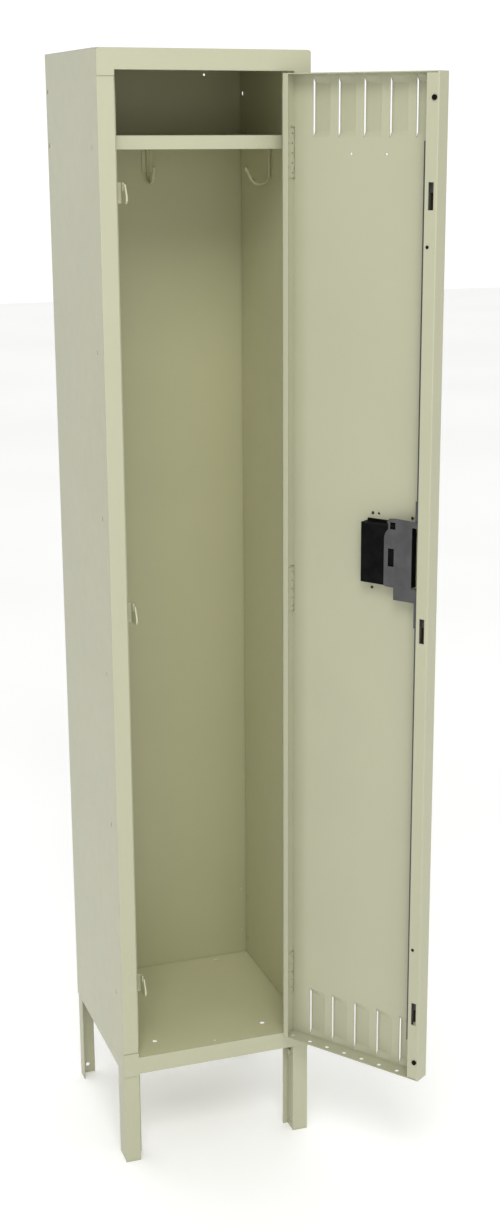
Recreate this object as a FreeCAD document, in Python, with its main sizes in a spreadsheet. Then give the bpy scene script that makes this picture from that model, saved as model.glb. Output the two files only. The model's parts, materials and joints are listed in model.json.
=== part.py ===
"""Single-tier steel school locker on legs, with its door standing open.

Every piece is modelled where it sits when the door is shut, in a working frame with +X to the
right, +Y to the back, +Z up and Y = 0 on the front face. The case is then moved back by half its
depth, so that the row's origin is the centre of the footprint on the floor. The pieces of the
door are turned about the hinge pins as well, by the angle at which the door rests.
"""
import FreeCAD
import Part
import math
import os
import re
import Sketcher

Vector = FreeCAD.Vector

# Driving dimensions in millimetres (open_angle in degrees).
SIZES = {
    # case
    "width": 304.8,
    "depth": 304.8,
    "body_height": 1524.0,
    "leg_height": 152.4,
    "frame_sheet": 1.5,
    "body_sheet": 1.0,
    "door_sheet": 1.5,
    "stile_face": 24.2,
    "rail_face": 28.2,
    "tab_drop": 7.7,
    "rail_corner": 3.0,
    "jamb_depth": 29.0,
    "stop_width": 8.0,
    "side_flange": 40.0,
    "rail_flange": 14.0,
    "header_top_flange": 20.0,
    "panel_flange": 15.0,
    "rear_flange": 25.0,
    "rear_leg": 23.0,
    "rear_leg_top": 26.0,
    "shelf_top": 1563.0,
    "shelf_front": 29.5,
    "shelf_lip": 18.6,
    "fit_gap": 0.1,
    # holes in the case
    "bolt_hole": 3.3,
    "side_hole_inset": 36.0,
    "rear_hole_inset": 10.4,
    "rear_hole_top": 1623.0,
    "rear_hole_low": 1546.6,
    "wall_hole": 1.7,
    "wall_hole_half": 93.0,
    "wall_hole_level": 1650.0,
    "floor_hole": 4.0,
    "floor_hole_half": 90.0,
    "floor_hole_front": 44.0,
    "floor_hole_rear": 286.0,
    "leg_hole": 3.5,
    "leg_hole_level": 15.0,
    "jamb_hole_inset": 16.0,
    "jamb_hole_level": 11.0,
    "back_rivet_inset": 9.4,
    "back_rivet_high": 301.0,
    "side_rivet_high": 287.0,
    "corner_pitch": 76.2,
    "leg_bolt_level": 136.0,
    "leg_bolt": 3.1,
    # door
    "door_gap": 3.2,
    "door_width": 248.0,
    "door_depth": 25.4,
    "hinge_return": 8.4,
    "latch_return": 19.0,
    "bend": 1.4,
    "corner_seam": 0.8,
    "flange_hole": 3.5,
    "pivot_gap": 1.1,
    "pivot_front": 1.4,
    "open_angle": 125.0,
    # hinges
    "hinge_pitch": 624.7,
    "hinge_tall": 66.5,
    "knuckle": 3.3,
    "pin": 2.0,
    "pin_play": 0.04,
    "leaf_sheet": 1.3,
    "leaf_deep": 21.0,
    "notch": 3.1,
    "knuckle_play": 0.15,
    "hinge_rivet": 2.0,
    "seat_near": 4.4,
    "seat_far": 7.4,
    "seat_half": 1.1,
    "relief_hole": 1.7,
    "relief_deep": 5.9,
    # louvres
    "louvre_first": 34.0,
    "louvre_pitch": 41.4,
    "louvre_run": 28.0,
    "louvre_rise": 5.2,
    "louvre_sheet": 1.3,
    "louvre_half": 33.3,
    "louvre_end": 8.0,
    "louvre_inset": 44.7,
    # latch
    "hook_pitch": 596.5,
    "hook_offset": 24.4,
    "slot_wide": 8.2,
    "slot_tall": 36.0,
    "hook_above_slot": 0.4,
    "hook_sheet": 2.4,
    "hook_half": 14.0,
    "hook_notch": 3.0,
    "bar_left": 24.5,
    "bar_wide": 26.5,
    "bar_narrow": 18.8,
    "bar_narrow_low": 949.0,
    "bar_narrow_high": 1035.0,
    "bar_wide_low": 891.0,
    "bar_wide_high": 1074.0,
    "bar_right": 2.0,
    "bar_sheet": 2.0,
    "bar_gap": 4.1,
    "bracket_sheet": 1.5,
    "bar_bottom": 245.0,
    "bar_top": 1557.0,
    "lift": 12.0,
    "guide_inset": 13.2,
    "guide_top": 1420.5,
    "guide_low": 398.0,
    "guide_shank": 1.9,
    "bumper_inset": 6.3,
    "bumper_top": 1611.7,
    "bumper_low": 214.1,
    "bumper": 3.6,
    "bumper_proud": 2.0,
    # handle cup
    "cup_near": 130.5,
    "cup_far": 213.0,
    "cup_low": 947.0,
    "cup_high": 1034.0,
    "cup_deep": 19.0,
    "cup_wall": 2.0,
    "cup_rim": 4.0,
    "cup_rim_end": 19.0,
    "cup_face": 1.5,
    "handle_web": 12.5,
    "padlock_hole": 4.6,
    "padlock_level": 1000.0,
    "padlock_deep": 7.0,
    # coat hooks
    "coat_rod": 2.4,
    "coat_bend": 15.0,
    "coat_top": 1545.0,
    "coat_low": 1490.0,
    "coat_plate": 1.5,
    "coat_rivet": 2.0,
}

LOUVRES = 5
FLANGE_HOLES = 7
SIDE_RIVETS = (117.0, 355.0, 633.0)
HINGES = {"top": 1, "middle": 0, "bottom": -1}
SIDES = {"left": -1, "right": 1}

# The bracket's outline as (distance from the hinge edge, height).
BRACKET_OUTLINE = [
    (188, 928), (232, 928), (232, 948), (217, 948), (217, 1036), (232, 1036), (232, 1044),
    (190, 1046), (180, 1045), (176, 1040), (178, 1036), (178, 1030), (173.5, 1024),
    (171.5, 1018), (171.5, 949), (174, 946), (188, 946),
]

document = FreeCAD.newDocument("school_locker")
sheet = document.addObject("Spreadsheet::Sheet", "Dims")
for row, (word, size) in enumerate(SIZES.items(), 1):
    sheet.set(f"A{row}", word)
    sheet.set(f"B{row}", str(size))
    sheet.setAlias(f"B{row}", word)
document.recompute()

subparts = []


# ---------------------------------------------------------------- modelling helpers

def bound(text):
    """The expression with each word turned into a reference to the spreadsheet."""
    return re.sub(r"[a-z][a-z_]+", lambda word: "Dims." + word.group(0), str(text))


def amount(text):
    """The present value of an expression."""
    return float(sheet.evalExpression(bound(text)))


def new_body(name):
    body = document.addObject("PartDesign::Body", name)
    body.Label = name
    return body


def new_sketch(body, plane, level):
    """An empty sketch on one of the body's own planes, moved along that plane's normal."""
    features = body.Origin.OriginFeatures
    origin_plane = next(item for item in features if item.Role == plane + "_Plane")
    sketch = body.newObject("Sketcher::SketchObject", body.Name + "_sketch")
    sketch.AttachmentSupport = [(origin_plane, "")]
    sketch.MapMode = "FlatFace"
    # The normal of the XZ plane points along -Y.
    sign = "-1 * " if plane == "XZ" else ""
    sketch.setExpression("AttachmentOffset.Base.z", bound(f"{sign}({level})"))
    return sketch


def pin_down(sketch, kind, text, value, *place):
    number = sketch.addConstraint(Sketcher.Constraint(kind, *place, value))
    sketch.setExpression(f"Constraints[{number}]", bound(text))


def draw_outline(sketch, outline):
    """A closed outline of straight lines, each corner fixed by two bound distances."""
    first = sketch.GeometryCount
    corners = [Vector(amount(across), amount(along), 0) for across, along in outline]
    count = len(corners)
    for index in range(count):
        line = Part.LineSegment(corners[index], corners[(index + 1) % count])
        sketch.addGeometry(line, False)
    for index in range(count):
        joined = first + (index + 1) % count
        sketch.addConstraint(Sketcher.Constraint("Coincident", first + index, 2, joined, 1))
    for index, (across, along) in enumerate(outline):
        pin_down(sketch, "DistanceX", across, corners[index].x, -1, 1, first + index, 1)
        pin_down(sketch, "DistanceY", along, corners[index].y, -1, 1, first + index, 1)


def draw_circle(sketch, across, along, radius):
    centre = Vector(amount(across), amount(along), 0)
    number = sketch.addGeometry(Part.Circle(centre, Vector(0, 0, 1), amount(radius)), False)
    pin_down(sketch, "DistanceX", across, centre.x, -1, 1, number, 3)
    pin_down(sketch, "DistanceY", along, centre.y, -1, 1, number, 3)
    sketch.addConstraint(Sketcher.Constraint("Radius", number, amount(radius)))
    sketch.setExpression(f"Constraints[{sketch.ConstraintCount - 1}]", bound(radius))


def box_outline(across, along):
    (left, right), (low, high) = across, along
    return [(left, low), (right, low), (right, high), (left, high)]


def draw_all(sketch, shapes):
    for shape in shapes:
        if len(shape) == 3:
            draw_circle(sketch, *shape)
        else:
            draw_outline(sketch, shape)


def add(body, plane, start, end, *shapes):
    """Material between two levels of a plane: outlines, or circles as (across, along, radius)."""
    level = end if plane == "XZ" else start
    sketch = new_sketch(body, plane, level)
    draw_all(sketch, shapes)
    pad = body.newObject("PartDesign::Pad", body.Name + "_pad")
    pad.Profile = sketch
    pad.setExpression("Length", bound(f"({end}) - ({start})"))
    sketch.Visibility = False
    return pad


def cut(body, plane, start, end, *shapes):
    """A cut-out between two levels of a plane."""
    level = start if plane == "XZ" else end
    sketch = new_sketch(body, plane, level)
    draw_all(sketch, shapes)
    pocket = body.newObject("PartDesign::Pocket", body.Name + "_pocket")
    pocket.Profile = sketch
    pocket.setExpression("Length", bound(f"({end}) - ({start})"))
    sketch.Visibility = False
    return pocket


def plate(body, across, along, up):
    """A flat rectangular plate or flange."""
    return add(body, "XY", up[0], up[1], box_outline(across, along))


def round_edges(body, radius, wanted):
    """Fillet the edges of the body so far whose middle and direction are wanted."""
    document.recompute()
    base = body.Tip
    names = []
    for number, edge in enumerate(base.Shape.Edges, 1):
        if edge.Curve.TypeId != "Part::GeomLine":
            continue
        middle = edge.valueAt((edge.FirstParameter + edge.LastParameter) / 2)
        direction = edge.tangentAt(edge.FirstParameter)
        if wanted(middle, direction):
            names.append(f"Edge{number}")
    if not names:
        raise RuntimeError(f"no edge to round on {body.Name}")
    fillet = body.newObject("PartDesign::Fillet", body.Name + "_round")
    fillet.Base = (base, names)
    fillet.setExpression("Radius", bound(radius))
    document.recompute()
    return fillet


def near(value, target):
    return abs(value - amount(target)) < 0.01


def upright_edge_at(*places):
    """Vertical edges that pass through any of the given (x, y) places."""
    spots = [(amount(across), amount(along)) for across, along in places]

    def wanted(middle, direction):
        if abs(direction.z) < 0.99:
            return False
        return any(math.hypot(middle.x - x, middle.y - y) < 0.01 for x, y in spots)
    return wanted


def keep(item, on_door=False):
    """List a finished sub-part, with the placement that its body of the locker has."""
    back = Vector(0, -amount("depth") / 2, 0)
    place = FreeCAD.Placement(back, FreeCAD.Rotation())
    if on_door:
        pivot = Vector(amount(PIVOT_X), amount(PIVOT_Y), 0)
        swing = FreeCAD.Rotation(Vector(0, 0, 1), amount("open_angle"))
        place = place.multiply(FreeCAD.Placement(Vector(0, 0, 0), swing, pivot))
    item.Placement = place.multiply(item.Placement)
    subparts.append(item)
    return item


def group(name, bodies, on_door=False):
    """Several separate solids kept as one node."""
    compound = document.addObject("Part::Compound", name)
    compound.Label = name
    compound.Links = bodies
    return keep(compound, on_door)


# ---------------------------------------------------------------- shared places

HALF = "width / 2"
TOP = "(leg_height + body_height)"
JAMB = "(width / 2 - stile_face)"
INNER = "(width / 2 - body_sheet)"
SKIN = "frame_sheet"
FLOOR = "(leg_height + rail_face)"
REAR = "(depth - body_sheet)"
HINGE_EDGE = "(width / 2 - stile_face - door_gap)"
FREE_EDGE = f"({HINGE_EDGE} - door_width)"
PIVOT_X = f"({HINGE_EDGE} + pivot_gap)"
PIVOT_Y = "(-pivot_front)"
DOOR_LOW = f"({FLOOR} + door_gap)"
DOOR_HIGH = f"({TOP} - rail_face - door_gap)"
DOOR_MIDDLE = "(leg_height + body_height / 2)"
RETURN_MIDDLE = f"({FREE_EDGE} + latch_return / 2)"
RETURN_FRONT = "(door_depth - door_sheet)"
BAR_BACK = f"({RETURN_FRONT} - bar_gap)"
BAR_FRONT = f"({BAR_BACK} - bar_sheet)"
BRACKET_BACK = f"({BAR_BACK} + bracket_sheet)"


def hook_centre(place):
    """The level of the middle of a door hook, from its place above or below the middle one."""
    return f"({DOOR_MIDDLE} - hook_offset + ({place}) * hook_pitch + hook_above_slot)"


def mirrored(side, outline):
    """The outline with its X values turned to the wanted side of the locker."""
    return [(f"{side} * ({across})", along) for across, along in outline]


def span(side, low, high):
    """The two X levels of a slab on the wanted side, lower level first."""
    return (low, high) if side > 0 else (f"-1 * ({high})", f"-1 * ({low})")


def from_hinge(distance):
    """The X of a place on the shut door, measured from its hinge edge."""
    return f"({HINGE_EDGE} - ({distance}))"


# ---------------------------------------------------------------- case

def make_upright(name, side):
    """Front upright and leg in one: face, jamb with its door stop, and side flange."""
    body = new_body(name + "_upright")
    section = [
        (HALF, SKIN), (HALF, "2 * frame_sheet"), (INNER, "2 * frame_sheet"),
        (INNER, "side_flange"), (f"{INNER} - frame_sheet", "side_flange"),
        (f"{INNER} - frame_sheet", "2 * frame_sheet"),
        (f"{JAMB} + frame_sheet", "2 * frame_sheet"),
        (f"{JAMB} + frame_sheet", "jamb_depth"), (f"{JAMB} - stop_width", "jamb_depth"),
        (f"{JAMB} - stop_width", "jamb_depth - frame_sheet"),
        (JAMB, "jamb_depth - frame_sheet"), (JAMB, SKIN),
    ]
    add(body, "XY", "0", f"{TOP} - frame_sheet", mirrored(side, section))
    corner = f"{side} * {JAMB}"
    round_edges(body, "frame_sheet / 2", upright_edge_at((corner, SKIN), (f"{side} * {HALF}", SKIN)))
    jamb = span(side, JAMB, f"{JAMB} + frame_sheet")
    cut(body, "YZ", *jamb, ("jamb_hole_inset", "jamb_hole_level", "leg_hole"),
        ("jamb_hole_inset", "leg_bolt_level", "leg_bolt"))
    flange = span(side, f"{INNER} - frame_sheet", INNER)
    for offset in SIDE_RIVETS:
        cut(body, "YZ", *flange,
            ("side_hole_inset", f"{DOOR_MIDDLE} + {offset}", "hinge_rivet + 0.4"),
            ("side_hole_inset", f"{DOOR_MIDDLE} - {offset}", "hinge_rivet + 0.4"))
    return keep(body)


def make_rail(name, low, high, tab_low, tab_high, flange_low, corners):
    """A cross rail of the door frame, whose end tabs lie over the uprights."""
    body = new_body(name)
    left, right = f"-1 * {HALF}", HALF
    if corners:
        face = [
            (f"{left} + rail_corner", high), (left, f"{high} - rail_corner"), (left, tab_low),
            (f"-1 * {JAMB}", tab_low), (f"-1 * {JAMB}", low), (JAMB, low), (JAMB, tab_low),
            (right, tab_low), (right, f"{high} - rail_corner"), (f"{right} - rail_corner", high),
        ]
    else:
        face = [
            (left, tab_low), (f"-1 * {JAMB}", tab_low), (f"-1 * {JAMB}", low), (JAMB, low),
            (JAMB, tab_low), (right, tab_low), (right, tab_high), (JAMB, tab_high), (JAMB, high),
            (f"-1 * {JAMB}", high), (f"-1 * {JAMB}", tab_high), (left, tab_high),
        ]
    add(body, "XZ", "0", SKIN, face)
    inside = (f"-1 * {JAMB} + fit_gap", f"{JAMB} - fit_gap")
    plate(body, inside, (SKIN, "rail_flange"), (flange_low, f"{flange_low} + frame_sheet"))
    if corners:
        across = (f"{left} + rail_corner", f"{right} - rail_corner")
        plate(body, across, (SKIN, "header_top_flange"), (f"{high} - frame_sheet", high))

    def front_edge(middle, direction):
        along = abs(direction.x) > 0.99 and abs(middle.y) < 0.01
        return along and (near(middle.z, low) or near(middle.z, high))
    round_edges(body, "frame_sheet / 2", front_edge)
    return keep(body)


def make_side_panel(name, side):
    """Side sheet with its rear flange turned in behind the back sheet."""
    body = new_body(name + "_side_panel")
    across = span(side, INNER, HALF)
    level = ("leg_height", f"{TOP} - body_sheet")
    plate(body, across, ("2 * frame_sheet", "depth"), level)
    inward = span(side, f"{INNER} - rear_flange", INNER)
    plate(body, inward, (REAR, "depth"), level)
    for offset in SIDE_RIVETS:
        cut(body, "YZ", *across,
            ("side_hole_inset", f"{DOOR_MIDDLE} + {offset}", "bolt_hole"),
            ("side_hole_inset", f"{DOOR_MIDDLE} - {offset}", "bolt_hole"))
    cut(body, "YZ", *across, ("depth - rear_hole_inset", "rear_hole_top", "bolt_hole"),
        ("depth - rear_hole_inset", "rear_hole_low", "bolt_hole"))
    back, beside = corner_rivet_places(side)
    cut(body, "XZ", REAR, "depth", *[(*place, "hinge_rivet") for place in back])
    cut(body, "YZ", *across, *[(*place, "hinge_rivet") for place in beside])
    return keep(body)


def corner_rivet_places(side):
    """Rivets of a lower rear corner: (X, Z) through the back and (Y, Z) through the side."""
    back = [(f"{side} * ({HALF} - back_rivet_inset)", level)
            for level in ("back_rivet_high", "back_rivet_high - corner_pitch")]
    beside = [("depth - rear_hole_inset", level)
              for level in ("side_rivet_high", "side_rivet_high - corner_pitch")]
    return back, beside


def make_back_panel():
    """Back sheet between the two sides, in front of their flanges."""
    body = new_body("back_panel")
    along = (f"{REAR} - body_sheet", REAR)
    plate(body, (f"-1 * {INNER}", INNER), along, ("leg_height", f"{TOP} - body_sheet"))
    holes = [(f"{side} * wall_hole_half", "wall_hole_level", "wall_hole")
             for side in SIDES.values()]
    for side in SIDES.values():
        back, _ = corner_rivet_places(side)
        holes += [(*place, "hinge_rivet") for place in back]
    cut(body, "XZ", *along, *holes)
    return keep(body)


def make_corner_rivets():
    """Rivets that close the lower rear corners of the case."""
    bodies = []
    inside = f"{REAR} - body_sheet"
    for name, side in SIDES.items():
        back, beside = corner_rivet_places(side)
        for number, place in enumerate(back, 1):
            body = new_body(f"{name}_back_rivet_{number}")
            add(body, "XZ", inside, "depth", (*place, "hinge_rivet - 0.05"))
            add(body, "XZ", f"{inside} - 0.9", inside, (*place, "hinge_rivet + 0.8"))
            bodies.append(body)
        for number, place in enumerate(beside, 1):
            body = new_body(f"{name}_corner_rivet_{number}")
            add(body, "YZ", *span(side, INNER, HALF), (*place, "hinge_rivet - 0.05"))
            add(body, "YZ", *span(side, f"{INNER} - 0.9", INNER), (*place, "hinge_rivet + 0.8"))
            bodies.append(body)
    return group("corner_rivets", bodies)


def make_top_panel():
    body = new_body("top_panel")
    plate(body, (f"-1 * {HALF}", HALF), ("header_top_flange", "depth"), (f"{TOP} - body_sheet", TOP))
    for side in SIDES.values():
        across = span(side, f"{INNER} - body_sheet", INNER)
        plate(body, across, ("side_flange + 1", f"{REAR} - body_sheet - 1"),
              (f"{TOP} - body_sheet - panel_flange", f"{TOP} - body_sheet"))
    return keep(body)


def stepped_outline(front, rear):
    """A panel's outline, cut back in front for the jambs and the side flanges."""
    jamb, flange = f"{JAMB} - fit_gap", f"{INNER} - frame_sheet - fit_gap"
    stop = f"{jamb} - stop_width"
    stop_front = "jamb_depth - frame_sheet - fit_gap"
    half = [(jamb, front), (jamb, stop_front), (stop, stop_front),
            (stop, "jamb_depth + fit_gap"), (flange, "jamb_depth + fit_gap"),
            (flange, "side_flange + fit_gap"), (INNER, "side_flange + fit_gap"), (INNER, rear)]
    return mirrored(1, half) + mirrored(-1, half)[::-1]


def make_floor_panel():
    body = new_body("floor_panel")
    under = f"{FLOOR} - body_sheet"
    drop = f"{under} - panel_flange"
    add(body, "XY", under, FLOOR, stepped_outline(SKIN, f"{REAR} - body_sheet"))
    jamb = f"({JAMB} - fit_gap)"
    plate(body, (f"-1 * {jamb}", jamb), (SKIN, f"{SKIN} + body_sheet"), (drop, under))
    behind = f"{REAR} - body_sheet"
    inside = f"({INNER} - rear_leg - 1 - fit_gap)"
    plate(body, (f"-1 * {inside}", inside), (f"{behind} - body_sheet", behind), (drop, under))
    for side in SIDES.values():
        across = span(side, f"{INNER} - body_sheet", INNER)
        plate(body, across, ("side_flange + 1", f"{behind} - rear_leg - 1"), (drop, under))
    holes = [(f"{side} * floor_hole_half", place, "floor_hole")
             for side in SIDES.values() for place in ("floor_hole_front", "floor_hole_rear")]
    cut(body, "XY", under, FLOOR, *holes, ("0", "rail_flange", "hinge_rivet"))
    return keep(body)


def make_hat_shelf():
    body = new_body("hat_shelf")
    under = "shelf_top - body_sheet"
    rear = f"{REAR} - body_sheet - fit_gap"
    flange = f"({INNER} - frame_sheet - fit_gap)"
    outline = [(flange, "shelf_front"), (flange, "side_flange + fit_gap"),
               (INNER, "side_flange + fit_gap"), (INNER, rear)]
    add(body, "XY", under, "shelf_top", mirrored(1, outline) + mirrored(-1, outline)[::-1])
    lip = ("shelf_front", "shelf_front + body_sheet")
    plate(body, (f"-1 * {flange}", flange), lip, ("shelf_top - shelf_lip", under))
    hem = ("shelf_front + body_sheet", "shelf_front + 9 * body_sheet")
    plate(body, (f"-1 * {flange} + 3", f"{flange} - 3"), hem,
          ("shelf_top - shelf_lip", "shelf_top - shelf_lip + body_sheet"))
    for side in SIDES.values():
        across = span(side, f"{INNER} - body_sheet", INNER)
        plate(body, across, ("side_flange + 1", f"{rear} - 2"), ("shelf_top - panel_flange", under))

    def front_edge(middle, direction):
        along = abs(direction.x) > 0.99 and near(middle.y, "shelf_front")
        return along and (near(middle.z, "shelf_top") or near(middle.z, "shelf_top - shelf_lip"))
    round_edges(body, "body_sheet * 0.7", front_edge)
    return keep(body)


def make_rear_leg(name, side):
    """Angle leg inside the rear corner of the case."""
    body = new_body(name + "_rear_leg")
    rear = f"({REAR} - body_sheet)"
    section = [(INNER, rear), (f"{INNER} - rear_leg - 1", rear),
               (f"{INNER} - rear_leg - 1", f"{rear} - frame_sheet"),
               (f"{INNER} - frame_sheet", f"{rear} - frame_sheet"),
               (f"{INNER} - frame_sheet", f"{rear} - rear_leg"), (INNER, f"{rear} - rear_leg")]
    add(body, "XY", "0", "leg_height + rear_leg_top", mirrored(side, section))
    hole = f"{side} * ({INNER} - rear_leg / 2)"
    cut(body, "XZ", f"{rear} - frame_sheet", rear, (hole, "leg_hole_level", "leg_hole"))
    return keep(body)


def make_frame_hook(name, place):
    """Door hook: a web behind the stop of the jamb and a notched blade that points forward."""
    body = new_body(f"frame_hook_{name}")
    centre = hook_centre(place)
    blade = (f"{RETURN_MIDDLE} - hook_sheet / 2", f"{RETURN_MIDDLE} + hook_sheet / 2")
    rear = "jamb_depth + hook_sheet"
    low, high = f"{centre} - hook_half", f"{centre} + hook_half"
    plate(body, (f"-1 * {JAMB} + 1", blade[1]), ("jamb_depth", rear), (low, high))
    profile = [
        (rear, low), (rear, high), (f"{BAR_BACK} + 1.8", high),
        (f"{BAR_BACK} + 1.8", f"{centre} + hook_notch"),
        (f"{BAR_FRONT} - 1.8", f"{centre} + hook_notch"), (f"{BAR_FRONT} - 1.8", f"{high} - 2"),
        (f"{BAR_FRONT} - 4.8", f"{high} - 2"), ("4", f"{centre} - 3"), ("4", f"{centre} - 10"),
        ("8", low),
    ]
    add(body, "YZ", *blade, profile)

    def nose_edge(middle, direction):
        return abs(direction.x) > 0.99 and near(middle.y, "4")
    round_edges(body, "hook_sheet", nose_edge)
    return keep(body)


def make_coat_hooks():
    """Three coat hooks: one in the middle of each inner wall, under the shelf."""
    middle = amount("depth / 2")
    places = {
        "left": ((-amount(INNER), middle + 9.6), 0),
        "right": ((amount(INNER), middle + 9.6), 180),
        "rear": ((0, amount(f"{REAR} - body_sheet")), -90),
    }
    heads = []
    for name, (spot, turn) in places.items():
        wall = FreeCAD.Placement(Vector(*spot, 0), FreeCAD.Rotation(Vector(0, 0, 1), turn))
        make_coat_hook(f"coat_hook_{name}", wall)
        heads += make_coat_hook_heads(name, wall)
    return group("coat_hook_rivets", heads)


def make_coat_hook_heads(name, wall):
    """Two rivet heads on the plate of a coat hook."""
    thick, level = amount("coat_plate"), amount("coat_top") - 8
    heads = []
    for number, across in enumerate((-5, 5), 1):
        head = document.addObject("Part::Cylinder", f"coat_hook_rivet_{name}_{number}")
        head.setExpression("Radius", bound("coat_rivet"))
        head.Height = 1.2
        lying = FreeCAD.Rotation(Vector(0, 1, 0), 90)
        head.Placement = wall.multiply(FreeCAD.Placement(Vector(thick, across, level), lying))
        heads.append(head)
    return heads


def make_coat_hook(name, wall):
    """Bent-rod coat hook with a ball tip on a small plate that lies on a wall."""
    rod, bend = amount("coat_rod"), amount("coat_bend")
    top, low, thick = amount("coat_top"), amount("coat_low"), amount("coat_plate")
    shank = thick + rod - 0.4
    centre_z = low + bend + rod
    rise = math.radians(28)
    tip_run = 16.0
    start = Vector(shank, 0, top - 4)
    drop = Vector(shank, 0, centre_z)
    lowest = Vector(shank + bend, 0, centre_z - bend)
    turned = Vector(shank + bend + bend * math.cos(rise), 0, centre_z - bend * math.sin(rise))
    tip = turned + Vector(math.sin(rise), 0, math.cos(rise)) * tip_run
    path = Part.Wire([Part.LineSegment(start, drop).toShape(),
                      Part.Arc(drop, lowest, turned).toShape(),
                      Part.LineSegment(turned, tip).toShape()])
    ring = Part.Wire([Part.Circle(start, Vector(0, 0, 1), rod).toShape()])
    bar = path.makePipeShell([ring], True, False)
    base = Part.makeBox(thick, 7 * rod, 36, Vector(0, -3.5 * rod, top - 38))
    shape = bar.fuse([base, Part.makeSphere(rod * 1.35, tip)]).removeSplitter()
    item = document.addObject("Part::Feature", name)
    item.Label = name
    item.Shape = shape.Solids[0]
    item.Placement = wall
    return keep(item)


def make_side_rivets(name, side):
    """Flush rivets that hold a side panel to the flange of its upright."""
    bodies = []
    for number, offset in enumerate([o * s for o in SIDE_RIVETS for s in (1, -1)], 1):
        body = new_body(f"{name}_side_rivet_{number}")
        centre = ("side_hole_inset", f"{DOOR_MIDDLE} + {offset}")
        shank = span(side, f"{INNER} - frame_sheet", f"{HALF} - body_sheet * 0.5")
        add(body, "YZ", *shank, (*centre, "hinge_rivet"))
        flush = span(side, INNER, f"{HALF} - body_sheet * 0.5")
        add(body, "YZ", *flush, (*centre, "bolt_hole - 0.15"))
        tail = span(side, f"{INNER} - frame_sheet - 1.2", f"{INNER} - frame_sheet")
        add(body, "YZ", *tail, (*centre, "bolt_hole + 0.4"))
        bodies.append(body)
    return group(f"{name}_side_rivets", bodies)


def make_leg_bolts():
    """A hexagon-headed bolt with its nut through the jamb of each front leg."""
    bodies = []
    spot = ("jamb_hole_inset", "leg_bolt_level")
    for name, side in SIDES.items():
        body = new_body(f"{name}_leg_bolt")
        shank = span(side, JAMB, f"{JAMB} + 9")
        add(body, "YZ", *shank, (*spot, "leg_bolt - 0.1"))
        add(body, "YZ", *span(side, f"{JAMB} - 3.2", JAMB), hexagon(spot, 5.0))
        nut = span(side, f"{JAMB} + frame_sheet", f"{JAMB} + frame_sheet + 4")
        add(body, "YZ", *nut, hexagon(spot, 5.0))
        bodies.append(body)
    return group("leg_bolts", bodies)


def hexagon(spot, half_flats):
    """Six corners about a spot, by half the width across flats."""
    radius = half_flats / math.cos(math.pi / 6)
    angles = [math.radians(60 * step) for step in range(6)]
    return [(f"{spot[0]} + {radius * math.cos(angle):.4f}",
             f"{spot[1]} + {radius * math.sin(angle):.4f}") for angle in angles]


# ---------------------------------------------------------------- hinges

def knuckle_levels(place):
    """The five knuckles of a hinge as (low, high, is_frame)."""
    middle = f"({DOOR_MIDDLE} + ({place}) * hinge_pitch)"
    levels = []
    for number in range(5):
        low = f"({middle} - hinge_tall / 2 + {number} * hinge_tall / 5)"
        levels.append((f"{low} + knuckle_play", f"{low} + hinge_tall / 5 - knuckle_play",
                       number % 2 == 0))
    return middle, levels


def knuckle_seats(middle):
    """Slots in the door's edge and leaf, one beside each knuckle."""
    levels = [f"{middle} + ({number}) * hinge_tall / 5" for number in range(-2, 3)]
    return [box_outline(("seat_near", "seat_far"), (f"{level} - seat_half", f"{level} + seat_half"))
            for level in levels]


def make_hinge(name, place):
    """Five-knuckle hinge: a leaf on the jamb, a leaf inside the door's edge, and the pin."""
    middle, levels = knuckle_levels(place)
    low, high = f"{middle} - hinge_tall / 2", f"{middle} + hinge_tall / 2"
    rear = f"{PIVOT_Y} + leaf_deep + 4"

    frame = new_body(f"hinge_{name}_frame_leaf")
    leaf = (f"{JAMB} - leaf_sheet", JAMB)
    level = (f"{low} + knuckle_play", f"{high} - knuckle_play")
    plate(frame, leaf, (f"{PIVOT_Y} + knuckle + 0.5", rear), level)
    door = new_body(f"hinge_{name}_door_leaf")
    inside = (f"{HINGE_EDGE} - door_sheet - leaf_sheet", f"{HINGE_EDGE} - door_sheet")
    door_front = f"{PIVOT_Y} + knuckle - leaf_sheet"
    plate(door, inside, ("notch", rear), level)
    for start, end, is_frame in levels:
        if is_frame:
            plate(frame, leaf, (f"{PIVOT_Y} + pin + 0.25", f"{PIVOT_Y} + knuckle + 0.5"), (start, end))
            add(frame, "XY", start, end, (PIVOT_X, PIVOT_Y, "knuckle"))
        else:
            plate(door, (inside[0], PIVOT_X), (door_front, f"{PIVOT_Y} + knuckle"), (start, end))
            plate(door, inside, (f"{PIVOT_Y} + knuckle", "notch"), (start, end))
            add(door, "XY", start, end, (PIVOT_X, PIVOT_Y, "knuckle"))
    bore = (PIVOT_X, PIVOT_Y, "pin + pin_play")
    cut(frame, "XY", f"{low} - 1", f"{high} + 1", bore)
    cut(door, "XY", f"{low} - 1", f"{high} + 1", bore)
    for offset in (-16, 0, 16):
        centre = (f"{PIVOT_Y} + leaf_deep - 5", f"{middle} + {offset}", "hinge_rivet")
        cut(door, "YZ", *inside, centre)
    cut(door, "YZ", *inside, *knuckle_seats(middle))
    keep(frame)
    keep(door, on_door=True)

    pin = new_body(f"hinge_{name}_pin")
    first, last = f"{low} + knuckle_play", f"{high} - knuckle_play"
    add(pin, "XY", first, last, (PIVOT_X, PIVOT_Y, "pin"))
    for start, end in ((f"{first} - 1.2", first), (last, f"{last} + 1.2")):
        add(pin, "XY", start, end, (PIVOT_X, PIVOT_Y, "knuckle - 0.5"))
    keep(pin)


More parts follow.
